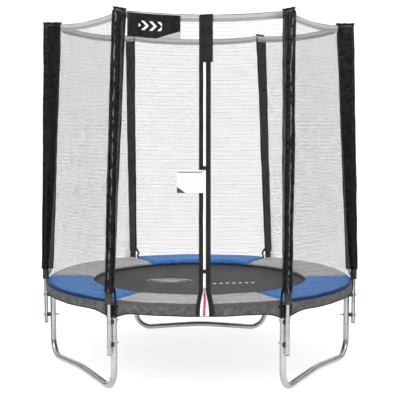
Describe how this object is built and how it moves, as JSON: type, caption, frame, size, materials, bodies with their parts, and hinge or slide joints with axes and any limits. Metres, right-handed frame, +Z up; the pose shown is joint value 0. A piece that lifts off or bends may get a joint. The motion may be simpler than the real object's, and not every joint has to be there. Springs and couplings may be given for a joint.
{
  "type": "trampoline",
  "caption": "Round garden trampoline with sprung jumping mat, padded rim, bent-tube legs and a pole-hung safety net with a zipped door.",
  "frame": {"origin": "on the ground under the middle of the jumping mat", "axes": "+Z up; the zipped door faces -Y; +X to the right of someone facing the door"},
  "size_m": [2.102, 2.0259, 2.2139],
  "materials": {
    "galvanised_steel": "bright zinc-coated tube",
    "zinc_hardware": "yellow-zinc bolts and nuts",
    "black_plastic": "moulded plastic",
    "pole_foam_grey": "closed-cell foam tube",
    "sleeve_vinyl": "glossy creased coated fabric",
    "black_webbing": "woven polypropylene webbing",
    "mat_weave": "tight woven polypropylene mat",
    "zinc_wire": "zinc-coated wire",
    "pad_blue_vinyl": "PVC-coated cover, blue",
    "pad_grey_vinyl": "PVC-coated cover, grey",
    "net_mesh": "fine knitted mesh",
    "net_hem": "woven hem band",
    "skirt_mesh": "gathered mesh skirt",
    "door_tape": "black edging tape",
    "door_satin": "black satin strip",
    "zip_white": "moulded zip",
    "zip_metal": "die-cast slider",
    "pull_ribbon": "red ribbon",
    "card_white": "printed label",
    "banner_black": "printed patch"
  },
  "bodies": {
    "frame": {"top_rail_1": "galvanised_steel", "leg_upright_1": "galvanised_steel", "pole_lower_1": "galvanised_steel", "pole_upper_1": "galvanised_steel", "pole_sleeve_1": "sleeve_vinyl", "top_rail_2": "galvanised_steel", "leg_upright_2": "galvanised_steel", "pole_lower_2": "galvanised_steel", "pole_upper_2": "galvanised_steel", "pole_sleeve_2": "sleeve_vinyl", "top_rail_3": "galvanised_steel", "leg_upright_3": "galvanised_steel", "pole_lower_3": "galvanised_steel", "pole_upper_3": "galvanised_steel", "pole_sleeve_3": "sleeve_vinyl", "top_rail_4": "galvanised_steel", "leg_upright_4": "galvanised_steel", "pole_lower_4": "galvanised_steel", "pole_upper_4": "galvanised_steel", "pole_sleeve_4": "sleeve_vinyl", "top_rail_5": "galvanised_steel", "leg_upright_5": "galvanised_steel", "pole_lower_5": "galvanised_steel", "pole_upper_5": "galvanised_steel", "pole_sleeve_5": "sleeve_vinyl", "top_rail_6": "galvanised_steel", "leg_upright_6": "galvanised_steel", "pole_lower_6": "galvanised_steel", "pole_upper_6": "galvanised_steel", "pole_sleeve_6": "sleeve_vinyl", "leg_base_1": "galvanised_steel", "leg_base_2": "galvanised_steel", "leg_base_3": "galvanised_steel", "pole_bolts": "zinc_hardware", "pole_nuts": "zinc_hardware", "pole_spacers": "black_plastic", "pole_caps": "black_plastic", "pole_foam": "pole_foam_grey", "pole_straps": "black_webbing", "springs": "zinc_wire", "pad_blue": "pad_blue_vinyl", "pad_grey": "pad_grey_vinyl", "net_wall": "net_mesh", "net_front_left": "net_mesh", "net_front_right": "net_mesh", "net_top_band": "net_hem", "net_skirt": "skirt_mesh", "door_tapes": "door_tape", "door_top_strip": "door_satin", "zip_chain": "zip_white", "instruction_card": "card_white", "banner": "banner_black"},
    "mat": {"jump_mat": "mat_weave", "mat_webbing": "black_webbing", "mat_rings": "zinc_wire"},
    "zip_slider": {"zip_slider": "zip_metal"},
    "zip_pull": {"zip_pull": "pull_ribbon"},
    "door_tab_upper": {"door_tab_upper": "door_tape"},
    "door_tab_lower": {"door_tab_lower": "door_tape"}
  },
  "joints": [
    {"name": "mat_bounce", "type": "slide", "parent": "frame", "child": "mat", "axis": [0, 0, 1], "range_m": [-0.12, 0], "stiffness_N_per_m": 3000, "springref_m": 0.02, "deforming": ["springs"]},
    {"name": "zip_slide", "type": "slide", "parent": "frame", "child": "zip_slider", "axis": [0, 0.117, 0.9931], "range_m": [0, 1.247]},
    {"name": "zip_pull_swing", "type": "hinge", "parent": "zip_slider", "child": "zip_pull", "pos_m": [0.0355, -1.00256, 0.62748], "axis": [-1, 0, 0], "range_deg": [0, 85]},
    {"name": "tab_upper_open", "type": "hinge", "parent": "frame", "child": "door_tab_upper", "pos_m": [0.066, -0.91872, 1.31168], "axis": [0, 0.117, 0.9931], "range_deg": [0, 150]},
    {"name": "tab_lower_open", "type": "hinge", "parent": "frame", "child": "door_tab_lower", "pos_m": [0.066, -0.98683, 0.73368], "axis": [0, 0.117, 0.9931], "range_deg": [0, 150]}
  ]
}
